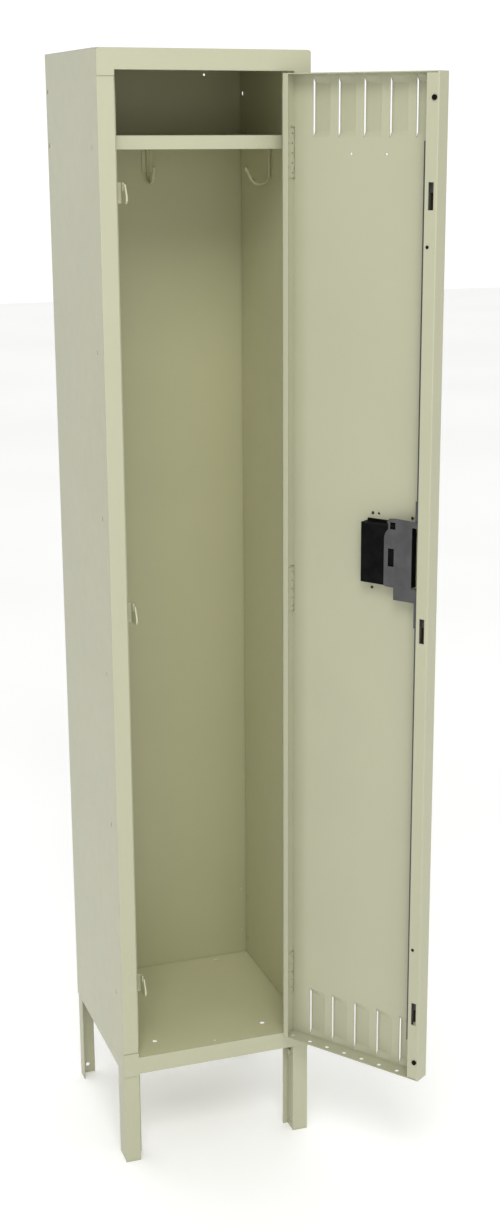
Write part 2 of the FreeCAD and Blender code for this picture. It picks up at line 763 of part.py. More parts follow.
def make_hinge_rivets():
    """Rivets through the door's edge and the three door leaves."""
    bodies = []
    for name, place in HINGES.items():
        middle, _ = knuckle_levels(place)
        for number, offset in enumerate((-16, 0, 16), 1):
            body = new_body(f"hinge_rivet_{name}_{number}")
            centre = (f"{PIVOT_Y} + leaf_deep - 5", f"{middle} + {offset}")
            inner = f"{HINGE_EDGE} - door_sheet - leaf_sheet"
            add(body, "YZ", inner, HINGE_EDGE, (*centre, "hinge_rivet - 0.05"))
            add(body, "YZ", HINGE_EDGE, f"{HINGE_EDGE} + 0.8", (*centre, "hinge_rivet + 1.4"))
            add(body, "YZ", f"{inner} - 1", inner, (*centre, "hinge_rivet + 1"))
            bodies.append(body)
    return group("hinge_rivets", bodies, on_door=True)


# ---------------------------------------------------------------- door

def make_door_panel():
    """Door pan with flanges on four sides, two rows of pressed louvres and its cut-outs."""
    body = new_body("door_panel")
    low, high = DOOR_LOW, DOOR_HIGH
    section = [
        (HINGE_EDGE, "0"), (HINGE_EDGE, "door_depth"), (from_hinge("hinge_return"), "door_depth"),
        (from_hinge("hinge_return"), RETURN_FRONT), (from_hinge("door_sheet"), RETURN_FRONT),
        (from_hinge("door_sheet"), "door_sheet"), (f"{FREE_EDGE} + door_sheet", "door_sheet"),
        (f"{FREE_EDGE} + door_sheet", RETURN_FRONT), (f"{FREE_EDGE} + latch_return", RETURN_FRONT),
        (f"{FREE_EDGE} + latch_return", "door_depth"), (FREE_EDGE, "door_depth"), (FREE_EDGE, "0"),
    ]
    add(body, "XY", low, high, section)
    across = (f"{FREE_EDGE} + door_sheet / 2", from_hinge("door_sheet / 2"))
    along = ("door_sheet / 2", "door_depth")
    plate(body, across, along, (low, f"{low} + door_sheet"))
    plate(body, across, along, (f"{high} - door_sheet", high))
    upright = upright_edge_at((HINGE_EDGE, "0"), (FREE_EDGE, "0"), (FREE_EDGE, "door_depth"))

    def folded_edge(middle, direction):
        across_edge = abs(direction.x) > 0.99 and abs(middle.y) < 0.01
        return upright(middle, direction) or (
            across_edge and (near(middle.z, low) or near(middle.z, high)))
    round_edges(body, "bend", folded_edge)

    for place in HINGES.values():
        middle, _ = knuckle_levels(place)
        level = (f"{middle} - hinge_tall / 2 - 2", f"{middle} + hinge_tall / 2 + 2")
        corner = box_outline((from_hinge("notch"), f"{HINGE_EDGE} + 1"), ("-1", "notch"))
        cut(body, "XY", *level, corner)
        rivets = [(f"{PIVOT_Y} + leaf_deep - 5", f"{middle} + {offset}", "hinge_rivet")
                  for offset in (-16, 0, 16)]
        relief = ("relief_deep", f"{middle} + hinge_tall / 2 + 2", "relief_hole")
        cut(body, "YZ", from_hinge("door_sheet"), HINGE_EDGE, relief, *rivets,
            *knuckle_seats(middle))

    slots = []
    for place in HINGES.values():
        level = f"{hook_centre(place)} - hook_above_slot"
        slots.append(box_outline(
            (f"{RETURN_MIDDLE} - slot_wide / 2", f"{RETURN_MIDDLE} + slot_wide / 2"),
            (f"{level} - slot_tall / 2", f"{level} + slot_tall / 2")))
    dots = [(f"{FREE_EDGE} + bumper_inset", level, "bumper - 1.9")
            for level in ("bumper_top", "bumper_low")]
    dots += [(f"{FREE_EDGE} + guide_inset", level, "guide_shank")
             for level in ("guide_top", "guide_low")]
    seam = (f"{FREE_EDGE} + 2 * bend", f"{FREE_EDGE} + latch_return + 1")
    seams = [box_outline(seam, (f"{low} + door_sheet", f"{low} + door_sheet + corner_seam")),
             box_outline(seam, (f"{high} - door_sheet - corner_seam", f"{high} - door_sheet"))]
    cut(body, "XZ", RETURN_FRONT, "door_depth", *slots, *dots, *seams)

    holes = [(from_hinge(f"12.5 + {number} * 32.2"), "door_depth - 9", "flange_hole")
             for number in range(FLANGE_HOLES)]
    cut(body, "XY", low, f"{low} + door_sheet", *holes)
    plate_holes = [(from_hinge(place), "1539.1", "1.8") for place in (97.2, 154.1)]
    cup_hole = box_outline((from_hinge("cup_far"), from_hinge("cup_near")), ("cup_low", "cup_high"))
    spare_hole = (from_hinge("149.8"), "cup_high + 11.2", "1.9")
    cut(body, "XZ", "0", "door_sheet", cup_hole, spare_hole, *plate_holes, *cup_rivet_places("1.9"))

    make_louvres(body)
    return keep(body, on_door=True)


def louvre_section(body, start, level, front, back, reach):
    """One end section of a louvre, in the plane across the door at a distance from the hinge."""
    sketch = new_sketch(body, "YZ", start)
    tapered = [(back, f"({level}) - {reach} - louvre_end"), (front, f"({level}) - {reach}"),
               (front, f"({level}) + {reach}"), (back, f"({level}) + {reach} + louvre_end")]
    draw_outline(sketch, tapered)
    sketch.Visibility = False
    return sketch


def make_louvres(body):
    """Two rows of outward louvres, open on the side that faces the hinges."""
    rows = (f"({DOOR_HIGH} - louvre_inset)", f"({DOOR_LOW} + louvre_inset)")
    for level in rows:
        for number in range(LOUVRES):
            mouth = f"louvre_first + {number} * louvre_pitch"
            start, end = from_hinge(mouth), from_hinge(f"{mouth} + louvre_run")
            hood = [
                louvre_section(body, start, level, "-louvre_rise", "0", "louvre_half"),
                louvre_section(body, end, level, "-0.1", "0", "(louvre_half - 2)"),
            ]
            loft = body.newObject("PartDesign::AdditiveLoft", "louvre_hood")
            loft.Profile = hood[0]
            loft.Sections = [hood[1]]
            loft.Ruled = True
            inside = [
                louvre_section(body, start, level, "louvre_sheet - louvre_rise", "door_sheet",
                               "(louvre_half - 0.8)"),
                louvre_section(body, end, level, "door_sheet - 0.2", "door_sheet",
                               "(louvre_half - 3)"),
            ]
            hollow = body.newObject("PartDesign::SubtractiveLoft", "louvre_hollow")
            hollow.Profile = inside[0]
            hollow.Sections = [inside[1]]
            hollow.Ruled = True


def cup_rivet_places(radius):
    """The four holes round the handle cup, as circles on the face of the door."""
    return [(from_hinge(across), up, radius) for across in ("cup_near + 9.6", "cup_far - 7")
            for up in ("cup_high + 11.2", "cup_low - 11.1")]


def make_bumpers():
    """Rubber buttons pushed into the return flange on the latch side."""
    bodies = []
    for name in ("top", "low"):
        body = new_body(f"door_bumper_{name}")
        spot = (f"{FREE_EDGE} + bumper_inset", f"bumper_{name}")
        add(body, "XZ", f"{RETURN_FRONT} - 2.4", RETURN_FRONT, (*spot, "bumper - 1"))
        add(body, "XZ", RETURN_FRONT, "door_depth", (*spot, "bumper - 1.9"))
        add(body, "XZ", "door_depth", "door_depth + bumper_proud", (*spot, "bumper"))
        bodies.append(body)
    return group("door_bumpers", bodies, on_door=True)


def make_bar_guides():
    """Shouldered rivets on the return flange, on which the latch bar slides."""
    for name in ("top", "low"):
        body = new_body("upper_bar_guide" if name == "top" else "lower_bar_guide")
        spot = (f"{FREE_EDGE} + guide_inset", f"guide_{name}")
        add(body, "XZ", f"{BAR_FRONT} - 1.7", f"{BAR_FRONT} - 0.2", (*spot, "guide_shank + 2.6"))
        add(body, "XZ", f"{BAR_FRONT} - 0.2", RETURN_FRONT, (*spot, "guide_shank + 0.6"))
        add(body, "XZ", RETURN_FRONT, "door_depth", (*spot, "guide_shank"))
        add(body, "XZ", "door_depth", "door_depth + 0.6", (*spot, "guide_shank + 0.4"))
        keep(body, on_door=True)


def make_handle_cup():
    """Recessed pocket that a hand reaches into, with its face plate and a slot for the handle."""
    body = new_body("handle_cup")
    near_side, far_side = from_hinge("cup_near"), from_hinge("cup_far")
    plate(body, (far_side, near_side), ("0", "cup_deep"), ("cup_low", "cup_high"))
    across = (from_hinge("cup_far + cup_rim"), from_hinge("cup_near - cup_rim"))
    plate(body, across, ("-cup_face", "0"), ("cup_low - cup_rim_end", "cup_high + cup_rim_end"))
    rib = (from_hinge("cup_far - 2"), from_hinge("cup_near + 2"))
    plate(body, rib, ("door_sheet", "door_sheet + 2"), ("cup_high", "cup_high + 3.5"))

    def deep_edge(middle, direction):
        side = near(middle.x, near_side) or near(middle.x, far_side)
        return abs(direction.z) > 0.99 and side and near(middle.y, "cup_deep")
    round_edges(body, "cup_wall", deep_edge)

    def face_edge(middle, direction):
        side = near(middle.x, across[0]) or near(middle.x, across[1])
        return abs(direction.y) > 0.99 and side and middle.y < 0
    round_edges(body, "2 * cup_wall", face_edge)
    hollow_x = (f"{far_side} + cup_wall", f"{near_side} - cup_wall")
    hollow_z = ("cup_low + cup_wall", "cup_high - cup_wall")
    cut(body, "XZ", "-cup_face", "cup_deep - cup_wall", box_outline(hollow_x, hollow_z))
    slot = box_outline((from_hinge("177.7"), from_hinge("170.3")), ("978.5", "1013.5"))
    cut(body, "XZ", "cup_deep - cup_wall", "cup_deep", slot)
    cut(body, "XZ", "-cup_face", "0", *cup_rivet_places("1.9"))
    return keep(body, on_door=True)


def make_cup_rivets():
    bodies = []
    for number, (across, up, radius) in enumerate(cup_rivet_places("1.9"), 1):
        body = new_body(f"cup_rivet_{number}")
        add(body, "XZ", "-cup_face", "door_sheet", (across, up, f"{radius} - 0.05"))
        add(body, "XZ", "-cup_face - 0.9", "-cup_face", (across, up, "3.2"))
        add(body, "XZ", "door_sheet", "door_sheet + 0.8", (across, up, "2.1"))
        bodies.append(body)
    return group("cup_rivets", bodies, on_door=True)


def make_padlock_hasp():
    """Fixed steel eye in the cup, beside the eye of the lift handle."""
    body = new_body("padlock_hasp")
    inner = "cup_deep - cup_wall"
    ear = (from_hinge("190.5"), from_hinge("188"))
    add(body, "YZ", *ear, box_outline(("0.5", inner), ("padlock_level - 14", "padlock_level + 14")))
    plate(body, (from_hinge("202"), from_hinge("190.5")), (f"{inner} - 2", inner),
          ("padlock_level - 14", "padlock_level + 14"))
    cut(body, "YZ", *ear, ("padlock_deep", "padlock_level", "padlock_hole"))
    return keep(body, on_door=True)


# ---------------------------------------------------------------- latch

def make_latch_bar():
    """Flat bar behind the return flange, with a window for each hook and two guide slots."""
    body = new_body("latch_bar")
    across = (f"{FREE_EDGE} + bar_right", f"{FREE_EDGE} + bar_left")
    wide = (f"{FREE_EDGE} + bar_left", f"{FREE_EDGE} + bar_wide")
    add(body, "XZ", BAR_FRONT, BAR_BACK, box_outline(across, ("bar_bottom", "bar_top")))
    add(body, "XZ", BAR_FRONT, BAR_BACK, box_outline(wide, ("bar_wide_low", "bar_wide_high")))
    openings = [box_outline((f"{FREE_EDGE} + bar_narrow", f"{FREE_EDGE} + bar_wide + 1"),
                            ("bar_narrow_low", "bar_narrow_high"))]
    half = "slot_wide / 2 + 0.2"
    for place in HINGES.values():
        centre = hook_centre(place)
        openings.append(box_outline(
            (f"{RETURN_MIDDLE} - ({half})", f"{RETURN_MIDDLE} + {half}"),
            (f"{centre} - hook_half - lift - 2.5", f"{centre} + hook_notch + 1.2")))
    guide = f"({FREE_EDGE} + guide_inset)"
    for level in ("guide_top", "guide_low"):
        openings.append(box_outline(
            (f"{guide} - guide_shank - 0.9", f"{guide} + guide_shank + 0.9"),
            (f"{level} - lift - guide_shank - 1", f"{level} + guide_shank + 1")))
    cut(body, "XZ", BAR_FRONT, BAR_BACK, *openings)
    return keep(body, on_door=True)


def make_lift_bracket():
    """Plate that joins the lift handle to the latch bar, behind the handle cup."""
    body = new_body("lift_bracket")
    outline = [(from_hinge(away), str(up)) for away, up in BRACKET_OUTLINE]
    add(body, "XZ", BAR_BACK, BRACKET_BACK, outline)
    square = box_outline((from_hinge("190"), from_hinge("181")), ("1030", "1040"))
    window = box_outline((from_hinge("188"), from_hinge("178")), ("976", "1002"))
    cut(body, "XZ", BAR_BACK, BRACKET_BACK, square, window)
    return keep(body, on_door=True)


def make_lift_handle():
    """Finger lift inside the cup: web, ledge, padlock ear and the stem to the bracket."""
    body = new_body("lift_handle")
    near_side, far_side = from_hinge("158"), from_hinge("186")
    low, high = "padlock_level - 40", "padlock_level + 10"
    plate(body, (far_side, near_side), ("handle_web", "handle_web + 2"), (low, high))
    plate(body, (far_side, near_side), ("1", "handle_web"), (low, f"{low} + 2.5"))
    ear = (far_side, from_hinge("183.5"))
    plate(body, ear, ("2", "handle_web"), ("padlock_level - 10", high))
    plate(body, (from_hinge("176.8"), from_hinge("172.5")), ("handle_web + 2", BAR_BACK),
          ("padlock_level - 20", "padlock_level"))

    def ledge_edge(middle, direction):
        return abs(direction.x) > 0.99 and near(middle.y, "1")
    round_edges(body, "1", ledge_edge)
    cut(body, "YZ", *ear, ("padlock_deep", "padlock_level", "padlock_hole"))
    return keep(body, on_door=True)


def make_latch_rivets():
    """Rivets whose heads clamp the bracket on the latch bar."""
    bodies = []
    for number, up in enumerate(("938", "1040"), 1):
        body = new_body(f"latch_rivet_{number}")
        spot = (from_hinge("229.3"), up)
        add(body, "XZ", BRACKET_BACK, f"{BRACKET_BACK} + 1", (*spot, "2.3"))
        bodies.append(body)
    return group("latch_rivets", bodies, on_door=True)


# ---------------------------------------------------------------- the whole locker

for side_name, side_sign in SIDES.items():
    make_upright(side_name, side_sign)
    make_side_panel(side_name, side_sign)
    make_rear_leg(side_name, side_sign)
    make_side_rivets(side_name, side_sign)
make_rail("header_rail", f"{TOP} - rail_face", TOP, f"{TOP} - rail_face - tab_drop", TOP,
          f"{TOP} - rail_face", True)
make_rail("sill_rail", "leg_height", FLOOR, "leg_height - 3", f"{FLOOR} + tab_drop",
          "leg_height", False)
make_back_panel()
make_corner_rivets()
make_top_panel()
make_floor_panel()
make_hat_shelf()
make_leg_bolts()
for hook_name, hook_place in HINGES.items():
    make_frame_hook(hook_name, hook_place)
make_coat_hooks()
for hinge_name, hinge_place in HINGES.items():
    make_hinge(hinge_name, hinge_place)
make_hinge_rivets()
make_door_panel()
make_bumpers()
make_bar_guides()
make_handle_cup()
make_cup_rivets()
make_padlock_hasp()
make_latch_bar()
make_lift_bracket()
make_lift_handle()
make_latch_rivets()

document.recompute()
for item in document.Objects:
    if "Invalid" in item.State or "Error" in item.State:
        raise RuntimeError(f"{item.Label} did not compute: {item.State}")
os.makedirs("parts", exist_ok=True)
for item in subparts:
    if item.Shape.isNull() or not item.Shape.isValid():
        raise RuntimeError(f"{item.Label} has no valid shape")
    item.Shape.exportStep(f"parts/{item.Label}.step")
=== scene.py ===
"""Looks of a school locker: enamel, latch finishes, small details, camera, light and floor."""
import json
import math
import bmesh
import bpy
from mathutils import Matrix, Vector


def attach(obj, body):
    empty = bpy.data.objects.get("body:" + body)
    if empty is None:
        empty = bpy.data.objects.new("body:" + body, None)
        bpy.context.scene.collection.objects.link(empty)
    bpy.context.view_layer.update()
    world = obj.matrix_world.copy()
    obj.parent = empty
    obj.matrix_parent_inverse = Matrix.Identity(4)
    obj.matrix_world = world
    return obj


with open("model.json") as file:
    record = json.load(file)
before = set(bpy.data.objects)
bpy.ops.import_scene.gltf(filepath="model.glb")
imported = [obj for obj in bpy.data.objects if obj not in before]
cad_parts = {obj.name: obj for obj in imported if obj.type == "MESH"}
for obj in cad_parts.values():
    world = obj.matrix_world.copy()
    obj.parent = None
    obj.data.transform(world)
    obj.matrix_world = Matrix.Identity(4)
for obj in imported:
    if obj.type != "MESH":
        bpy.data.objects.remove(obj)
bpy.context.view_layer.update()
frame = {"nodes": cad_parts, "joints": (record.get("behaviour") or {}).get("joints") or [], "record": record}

nodes = frame["nodes"]
scene = bpy.context.scene

# Camera at the place and angle of the reference view. Metres, degrees and millimetres of lens.
CAMERA_AT = (-0.78075, -2.62293, 1.58000)
CAMERA_TURN = (73.88, 0.0, -20.01)
CAMERA_LENS = 53.155
CAMERA_SENSOR = 36.0
CAMERA_SHIFT = (-0.0309, 0.0262)

# Strength of the surroundings in front of the object, behind it and beside it, and the
# stretches of the viewing direction, along Y and along X, over which each strength changes.
WORLD_FRONT = 0.70
WORLD_BEHIND = 1.06
WORLD_SIDE = 0.43
FRONT_FADE = (-0.6, 0.2)
SIDE_FADE = (0.60, 1.0)
# Light that the floor gives off, so that it stays as pale as the surroundings.
FLOOR_GLOW = 0.12
# Half the side of the floor, in metres.
FLOOR_HALF = 14.0
# Each lamp: its place, the point it faces, the side of its square and its power in watts.
LAMPS = {
    "key_low": ((-0.50, -3.5, 1.25), (0.0, 0.0, 1.0), 1.6, 19.0),
    "key_high": ((-0.75, -2.6, 3.4), (0.0, 0.0, 0.6), 1.4, 53.0),
}


# ---------------------------------------------------------------- node helpers

def linear(*srgb):
    """Linear colour from sRGB numbers of 0 to 255."""
    out = []
    for value in srgb:
        c = value / 255
        out.append(c / 12.92 if c <= 0.04045 else ((c + 0.055) / 1.055) ** 2.4)
    return (*out, 1.0)


def tinted(colour, times, plus=0.0):
    """A linear colour made lighter or darker."""
    return tuple(min(1.0, part * times + plus) for part in colour[:3]) + (1.0,)


class Shader:
    """A material's node tree, with short calls for the nodes used here."""

    def __init__(self, name):
        self.material = bpy.data.materials.new(name)
        self.material.use_nodes = True
        self.tree = self.material.node_tree
        self.surface = self.tree.nodes["Principled BSDF"]
        self.place = self.node("ShaderNodeTexCoord").outputs["Object"]

    def node(self, kind, **settings):
        made = self.tree.nodes.new(kind)
        for key, value in settings.items():
            setattr(made, key, value)
        return made

    def put(self, socket, value):
        """Sets a socket to a number or colour, or links it to another socket."""
        if isinstance(value, bpy.types.NodeSocket):
            self.tree.links.new(value, socket)
        else:
            socket.default_value = value

    def noise(self, scale, detail=2.0, rough=0.5, stretch=None):
        """Noise of 0 to 1, with scale grains to the metre."""
        place = self.place
        if stretch:
            mapping = self.node("ShaderNodeMapping")
            mapping.inputs["Scale"].default_value = stretch
            self.put(mapping.inputs["Vector"], self.place)
            place = mapping.outputs["Vector"]
        made = self.node("ShaderNodeTexNoise")
        self.put(made.inputs["Vector"], place)
        made.inputs["Scale"].default_value = scale
        made.inputs["Detail"].default_value = detail
        made.inputs["Roughness"].default_value = rough
        return made.outputs["Fac"]

    def spread(self, value, low, high, out_low=0.0, out_high=1.0):
        """The value stretched from low..high to out_low..out_high, and held there beyond."""
        made = self.node("ShaderNodeMapRange", clamp=True)
        for name, number in (("Value", value), ("From Min", low), ("From Max", high),
                             ("To Min", out_low), ("To Max", out_high)):
            self.put(made.inputs[name], number)
        return made.outputs["Result"]

    def maths(self, operation, a, b=0.0):
        made = self.node("ShaderNodeMath", operation=operation)
        self.put(made.inputs[0], a)
        self.put(made.inputs[1], b)
        return made.outputs[0]

    def blend(self, share, a, b):
        """Colour a where the share is 0 and colour b where it is 1."""
        made = self.node("ShaderNodeMix", data_type="RGBA")
        self.put(made.inputs[0], share)
        self.put(made.inputs[6], a)
        self.put(made.inputs[7], b)
        return made.outputs[2]

    def scaled(self, colour, amount):
        """A colour times a number."""
        made = self.node("ShaderNodeVectorMath", operation="SCALE")
        self.put(made.inputs[0], colour[:3] if isinstance(colour, tuple) else colour)
        self.put(made.inputs["Scale"], amount)
        return made.outputs["Vector"]

    def inside(self, low, high):
        """1 inside a box in the row frame, and 0 outside it."""
        split = self.node("ShaderNodeSeparateXYZ")
        self.put(split.inputs[0], self.place)
        share = None
        for axis in range(3):
            above = self.maths("GREATER_THAN", split.outputs[axis], low[axis])
            below = self.maths("LESS_THAN", split.outputs[axis], high[axis])
            both = self.maths("MULTIPLY", above, below)
            share = both if share is None else self.maths("MULTIPLY", share, both)
        return share

    def bump(self, height, strength, distance, normal=None):
        made = self.node("ShaderNodeBump")
        made.inputs["Strength"].default_value = strength
        made.inputs["Distance"].default_value = distance
        self.put(made.inputs["Height"], height)
        if normal:
            self.put(made.inputs["Normal"], normal)
        return made.outputs["Normal"]

    def soft_edges(self, radius):
        """A rounded normal, and a mask that is 1 along sharp edges."""
        rounded = self.node("ShaderNodeBevel", samples=6)
        rounded.inputs["Radius"].default_value = radius
        flat = self.node("ShaderNodeNewGeometry").outputs["Normal"]
        dot = self.node("ShaderNodeVectorMath", operation="DOT_PRODUCT")
        self.put(dot.inputs[0], rounded.outputs["Normal"])
        self.put(dot.inputs[1], flat)
        mask = self.spread(dot.outputs["Value"], 0.995, 0.80)
        return rounded.outputs["Normal"], mask

    def crevices(self, reach):
        """1 on open faces, falling towards 0 in narrow gaps and inner corners."""
        made = self.node("ShaderNodeAmbientOcclusion", samples=6)
        made.inputs["Distance"].default_value = reach
        return made.outputs["AO"]

    def set(self, **values):
        for name, value in values.items():
            self.put(self.surface.inputs[name.replace("_", " ")], value)
        return self.material


def enamel(name, srgb, rough=0.42, inner=None, inner_low=None):
    """Baked enamel on sheet steel: fine orange peel, faint clouds of tint, worn corners, and painted shade
    in gaps and inner corners.
    inner is a painted light tint for faces inside the case, lighter or darker to stand in for the light that
    reaches them, and inner_low is the lowest corner of that inside, if it isn't the case's own."""
    s = Shader(name)
    base = linear(*srgb)
    normal, edge = s.soft_edges(radius=0.0011)
    if inner:
        # Painted light: faces inside the case take the inner tint, lighter or darker to stand in for the
        # light that reaches them.
        base = s.blend(s.inside(inner_low or CASE_LOW, CASE_HIGH), base, linear(*inner))
    clouds = s.spread(s.noise(scale=5.5, detail=3.0, rough=0.55), 0.36, 0.64)
    specks = s.spread(s.noise(scale=420.0, detail=1.0), 0.62, 0.78)
    scuffs = s.spread(s.noise(scale=160.0, detail=3.0, rough=0.6), 0.42, 0.60, 0.35, 0.95)
    wear = s.maths("MULTIPLY", edge, scuffs)
    cloud_light = s.spread(clouds, 0.0, 1.0, out_low=1.0, out_high=0.975)
    speck_light = s.maths("MULTIPLY", specks, 0.012)
    wear_light = s.maths("MULTIPLY", wear, 0.09)
    light = s.maths("ADD", cloud_light, s.maths("ADD", speck_light, wear_light))
    # Painted shade: the colour darkens in narrow gaps, creases and inner corners, where shade falls.
    painted_crevice_shade = s.spread(s.crevices(reach=0.008), 0.15, 0.85, out_low=0.80, out_high=1.0)
    light = s.maths("MULTIPLY", light, painted_crevice_shade)
    colour = s.scaled(base, light)
    peel = s.noise(scale=640.0, detail=2.0, rough=0.45)
    waves = s.noise(scale=34.0, detail=1.0, rough=0.4)
    normal = s.bump(waves, strength=0.03, distance=0.0008, normal=normal)
    normal = s.bump(peel, strength=0.08, distance=0.00016, normal=normal)
    patches = s.spread(s.noise(scale=48.0, detail=4.0, rough=0.6), 0.30, 0.70,
                       out_low=rough - 0.03, out_high=rough + 0.04)
    roughness = s.maths("SUBTRACT", patches, s.maths("MULTIPLY", wear, 0.08))
    return s.set(Base_Color=colour, Roughness=roughness, Normal=normal, Coat_Weight=0.10,
                 Coat_Roughness=0.30, Specular_IOR_Level=0.40)


def coated_steel(name, srgb, rough=0.36, metallic=0.55):
    """Dark coated strip: drawn lines along its length and bare, brighter corners."""
    s = Shader(name)
    base = linear(*srgb)
    bright = tinted(base, 2.1, 0.02)
    dark = tinted(base, 0.75)
    normal, edge = s.soft_edges(radius=0.0005)
    lines = s.noise(scale=260.0, detail=3.0, rough=0.6, stretch=(1.0, 1.0, 0.035))
    clouds = s.spread(s.noise(scale=38.0, detail=4.0, rough=0.6), 0.35, 0.65)
    colour = s.blend(clouds, base, dark)
    colour = s.blend(s.maths("MULTIPLY", edge, 0.75), colour, bright)
    normal = s.bump(lines, strength=0.16, distance=0.0001, normal=normal)
    roughness = s.spread(lines, 0.3, 0.7, out_low=rough - 0.07, out_high=rough + 0.10)
    return s.set(Base_Color=colour, Roughness=roughness, Normal=normal, Metallic=metallic)


def moulded_black(name, srgb, rough, grain, depth):
    """Dark plastic and rubber, also used for the dark painted shade behind the door's slots: a fine grain
    and paler, rubbed edges.
    """
    s = Shader(name)
    base = linear(*srgb)
    pale = tinted(base, 2.2, 0.006)
    normal, edge = s.soft_edges(radius=0.0006)
    haze = s.spread(s.noise(scale=60.0, detail=3.0, rough=0.6), 0.35, 0.70, out_high=0.35)
    colour = s.blend(haze, base, pale)
    colour = s.blend(s.maths("MULTIPLY", edge, 0.6), colour, pale)
    normal = s.bump(s.noise(grain), strength=0.35, distance=depth, normal=normal)
    roughness = s.spread(s.noise(scale=90.0), 0.3, 0.7, out_low=rough - 0.06,
                         out_high=rough + 0.06)
    return s.set(Base_Color=colour, Roughness=roughness, Normal=normal, Specular_IOR_Level=0.04)


def turned_steel(name, srgb, rough):
    """Small turned or headed steel pieces, with fine rings and a little tarnish."""
    s = Shader(name)
    base = linear(*srgb)
    dull = tinted(base, 0.6)
    normal, _ = s.soft_edges(radius=0.0003)
    tarnish = s.spread(s.noise(scale=300.0, detail=4.0, rough=0.6), 0.40, 0.66)
    colour = s.blend(tarnish, base, dull)
    rings = s.noise(scale=900.0, stretch=(0.1, 0.1, 1.0))
    normal = s.bump(rings, strength=0.12, distance=0.00006, normal=normal)
    roughness = s.spread(tarnish, 0.0, 1.0, out_low=rough, out_high=rough + 0.14)
    return s.set(Base_Color=colour, Roughness=roughness, Normal=normal, Metallic=0.9)


# Tints of the enamel as sRGB: outside, its own colour; then painted light tints, lighter or darker to stand
# in for the light that falls inside the case, on its back, on its side walls and on the frame hooks.
PUTTY = (176, 176, 150)
INSIDE_PAINTED_LIGHT = (185, 184, 145)
BACK_PAINTED_LIGHT = (174, 173, 137)
WALL_PAINTED_LIGHT = (197, 196, 160)
HOOK_PAINTED_LIGHT = (188, 188, 157)
# The inside of the case, just within its sheets, where the painted light tints apply, in metres, and the
# floor's own low corner.
CASE_LOW = (-0.1519, -0.1216, 0.1800)
CASE_HIGH = (0.1519, 0.1510, 1.6758)
FLOOR_LOW = (-0.1519, -0.1524, 0.1800)
finishes = {
    "enamel": enamel("enamel", PUTTY, inner=INSIDE_PAINTED_LIGHT),
    "pin_steel": turned_steel("pin_steel", (150, 150, 140), rough=0.30),
    "latch_steel": coated_steel("latch_steel", (88, 88, 89)),
    "cup_plastic": moulded_black("cup_plastic", (11, 11, 12), rough=0.50, grain=1400.0,
                                 depth=0.00006),
    "cup_rivet_steel": turned_steel("cup_rivet_steel", (70, 70, 68), rough=0.35),
    "guide_steel": turned_steel("guide_steel", (34, 34, 33), rough=0.40),
    "bumper_rubber": moulded_black("bumper_rubber", (15, 15, 15), rough=0.62, grain=1100.0,
                                   depth=0.00008),
}

# Nodes whose enamel has a painted light tint of its own, lighter or darker to stand in for the light each
# gets, set so that each matches the reference view.
# Painted light: a lighter tint on the frame hooks, which would otherwise sit darker in shade in their narrow
# gap.
hook_enamel_painted_light = enamel("hook_enamel_painted_light", HOOK_PAINTED_LIGHT)
back_enamel_painted_light = enamel("back_enamel_painted_light", PUTTY, inner=BACK_PAINTED_LIGHT)
wall_enamel_painted_light = enamel("wall_enamel_painted_light", PUTTY, inner=WALL_PAINTED_LIGHT)
# The floor's painted light tint reaches forward up to the front rail.
floor_enamel_painted_light = enamel("floor_enamel_painted_light", PUTTY, inner=WALL_PAINTED_LIGHT, inner_low=FLOOR_LOW)
painted_light_enamels = {"back_panel": back_enamel_painted_light, "floor_panel": floor_enamel_painted_light}
for place in ("top", "middle", "bottom"):
    painted_light_enamels[f"frame_hook_{place}"] = hook_enamel_painted_light
for sheet in ("left_side_panel", "right_side_panel"):
    painted_light_enamels[sheet] = wall_enamel_painted_light

for row in frame["record"]["subparts"]:
    mesh = nodes[row["node"]].data
    mesh.materials.clear()
    mesh.materials.append(painted_light_enamels.get(row["node"], finishes[row["material_slot"]]))


# ---------------------------------------------------------------- small pieces on the door

# Sizes on the door, in metres: the slots for the frame hooks, the dark sheets of painted shade behind them
# and the door's skin.
SLOT_MIDDLE = 0.8900
SLOT_PITCH = 0.5965
SLOT_LEVELS = tuple(SLOT_MIDDLE + step * SLOT_PITCH for step in (-1, 0, 1))
SHADE_FROM_HINGE = (0.2145, 0.2310)
SHADE_HALF_HEIGHT = 0.026
SHADE_THICK = 0.0006
SKIN_BACK = 0.0015
EDGE_BEHIND_PIVOT = 0.0011
FACE_BEHIND_PIVOT = 0.0014
# The door hinge's line and how far the door stands open at rest, from the joint itself.
door_hinge = next(joint for joint in frame["joints"] if joint["name"] == "door_hinge")
HINGE_LINE = door_hinge["pos_m"][:2]
DOOR_TURN = math.radians(-door_hinge["range_deg"][0])


def on_door(from_hinge, behind_face, level):
    """Row place of a point of the door at rest, from its hinge edge and its front face."""
    across = -(from_hinge + EDGE_BEHIND_PIVOT)
    along = behind_face + FACE_BEHIND_PIVOT
    turned_x = across * math.cos(DOOR_TURN) - along * math.sin(DOOR_TURN)
    turned_y = across * math.sin(DOOR_TURN) + along * math.cos(DOOR_TURN)
    return (HINGE_LINE[0] + turned_x, HINGE_LINE[1] + turned_y, level)


# The corners of each side of a box, whose corners are counted up, then deep, then away.
BOX_SIDES = ((0, 1, 3, 2), (4, 6, 7, 5), (0, 4, 5, 1), (2, 3, 7, 6), (0, 2, 6, 4), (1, 5, 7, 3))


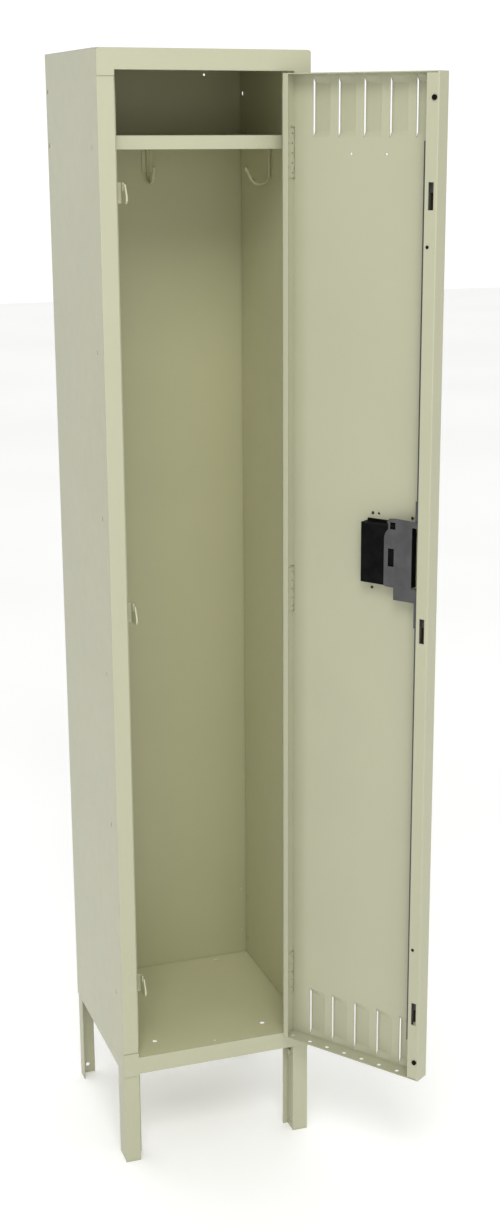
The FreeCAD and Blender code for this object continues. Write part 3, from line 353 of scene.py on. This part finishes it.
def make_slot_shade_sheets():
    """Dark sheets of painted shade just inside the door's skin, behind the three hook slots, where the skin
    would lie in shade.
    """
    # Painted shade: a dark olive sheet stands where the skin behind each slot is in shade.
    painted_shade = moulded_black("slot_painted_shade", (52, 49, 34), rough=0.9, grain=2600.0, depth=0.00012)
    for number, level in enumerate(SLOT_LEVELS, 1):
        mesh = bpy.data.meshes.new(f"slot_shade_sheet_{number}")
        shape = bmesh.new()
        corners = [shape.verts.new(on_door(away, deep, level + up * SHADE_HALF_HEIGHT))
                   for up in (-1, 1) for deep in (SKIN_BACK, SKIN_BACK + SHADE_THICK)
                   for away in SHADE_FROM_HINGE]
        for side in BOX_SIDES:
            shape.faces.new([corners[corner] for corner in side])
        bmesh.ops.recalc_face_normals(shape, faces=shape.faces)
        shape.to_mesh(mesh)
        shape.free()
        mesh.materials.append(painted_shade)
        shade_sheet = bpy.data.objects.new(f"slot_shade_sheet_{number}", mesh)
        scene.collection.objects.link(shade_sheet)
        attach(shade_sheet, "door")


make_slot_shade_sheets()


# ---------------------------------------------------------------- floor, light, camera

def soft_light(name, at, towards, size, power):
    """A white, square lamp that faces a point."""
    lamp = bpy.data.lights.new(name, "AREA")
    lamp.shape = "RECTANGLE"
    lamp.size, lamp.size_y = size, size
    lamp.energy = power
    item = bpy.data.objects.new(name, lamp)
    scene.collection.objects.link(item)
    item.location = at
    item.rotation_euler = (Vector(towards) - Vector(at)).to_track_quat("-Z", "Y").to_euler()


def make_floor():
    """A wide sheet of white paper under the object."""
    mesh = bpy.data.meshes.new("floor")
    shape = bmesh.new()
    bmesh.ops.create_grid(shape, x_segments=8, y_segments=8, size=FLOOR_HALF)
    shape.to_mesh(mesh)
    shape.free()
    item = bpy.data.objects.new("floor", mesh)
    scene.collection.objects.link(item)
    s = Shader("floor_paper")
    clouds = s.spread(s.noise(scale=0.8), 0.35, 0.65)
    tint = s.blend(clouds, linear(250, 250, 249), linear(246, 246, 245))
    paper = s.set(Base_Color=tint, Roughness=0.9, Emission_Color=linear(255, 255, 255),
                  Emission_Strength=FLOOR_GLOW)
    mesh.materials.append(paper)


def make_world():
    """White surroundings, a little darker at the sides and in front, where the lamps are."""
    world = bpy.data.worlds.new("studio")
    scene.world = world
    world.use_nodes = True
    tree = world.node_tree
    way = tree.nodes.new("ShaderNodeTexCoord").outputs["Generated"]
    split = tree.nodes.new("ShaderNodeSeparateXYZ")
    tree.links.new(way, split.inputs[0])
    front = tree.nodes.new("ShaderNodeMapRange")
    tree.links.new(split.outputs["Y"], front.inputs["Value"])
    side = tree.nodes.new("ShaderNodeMapRange")
    away = tree.nodes.new("ShaderNodeMath")
    away.operation = "ABSOLUTE"
    tree.links.new(split.outputs["X"], away.inputs[0])
    tree.links.new(away.outputs[0], side.inputs["Value"])
    for item, numbers in ((front, (*FRONT_FADE, WORLD_FRONT, WORLD_BEHIND)),
                          (side, (*SIDE_FADE, 1.0, WORLD_SIDE))):
        for name, number in zip(("From Min", "From Max", "To Min", "To Max"), numbers):
            item.inputs[name].default_value = number
    both = tree.nodes.new("ShaderNodeMath")
    both.operation = "MULTIPLY"
    tree.links.new(front.outputs[0], both.inputs[0])
    tree.links.new(side.outputs[0], both.inputs[1])
    tree.links.new(both.outputs[0], tree.nodes["Background"].inputs["Strength"])
    tree.nodes["Background"].inputs["Color"].default_value = (1.0, 1.0, 1.0, 1.0)


make_floor()
for lamp_name, settings in LAMPS.items():
    soft_light(lamp_name, *settings)
make_world()

scene.view_settings.view_transform = "Standard"
scene.view_settings.look = "None"

lens = bpy.data.cameras.new("camera")
lens.sensor_width = CAMERA_SENSOR
lens.lens = CAMERA_LENS
lens.shift_x, lens.shift_y = CAMERA_SHIFT
lens.clip_start, lens.clip_end = 0.05, 60.0
camera = bpy.data.objects.new("camera", lens)
camera.location = CAMERA_AT
camera.rotation_euler = [math.radians(angle) for angle in CAMERA_TURN]
scene.collection.objects.link(camera)
scene.camera = camera
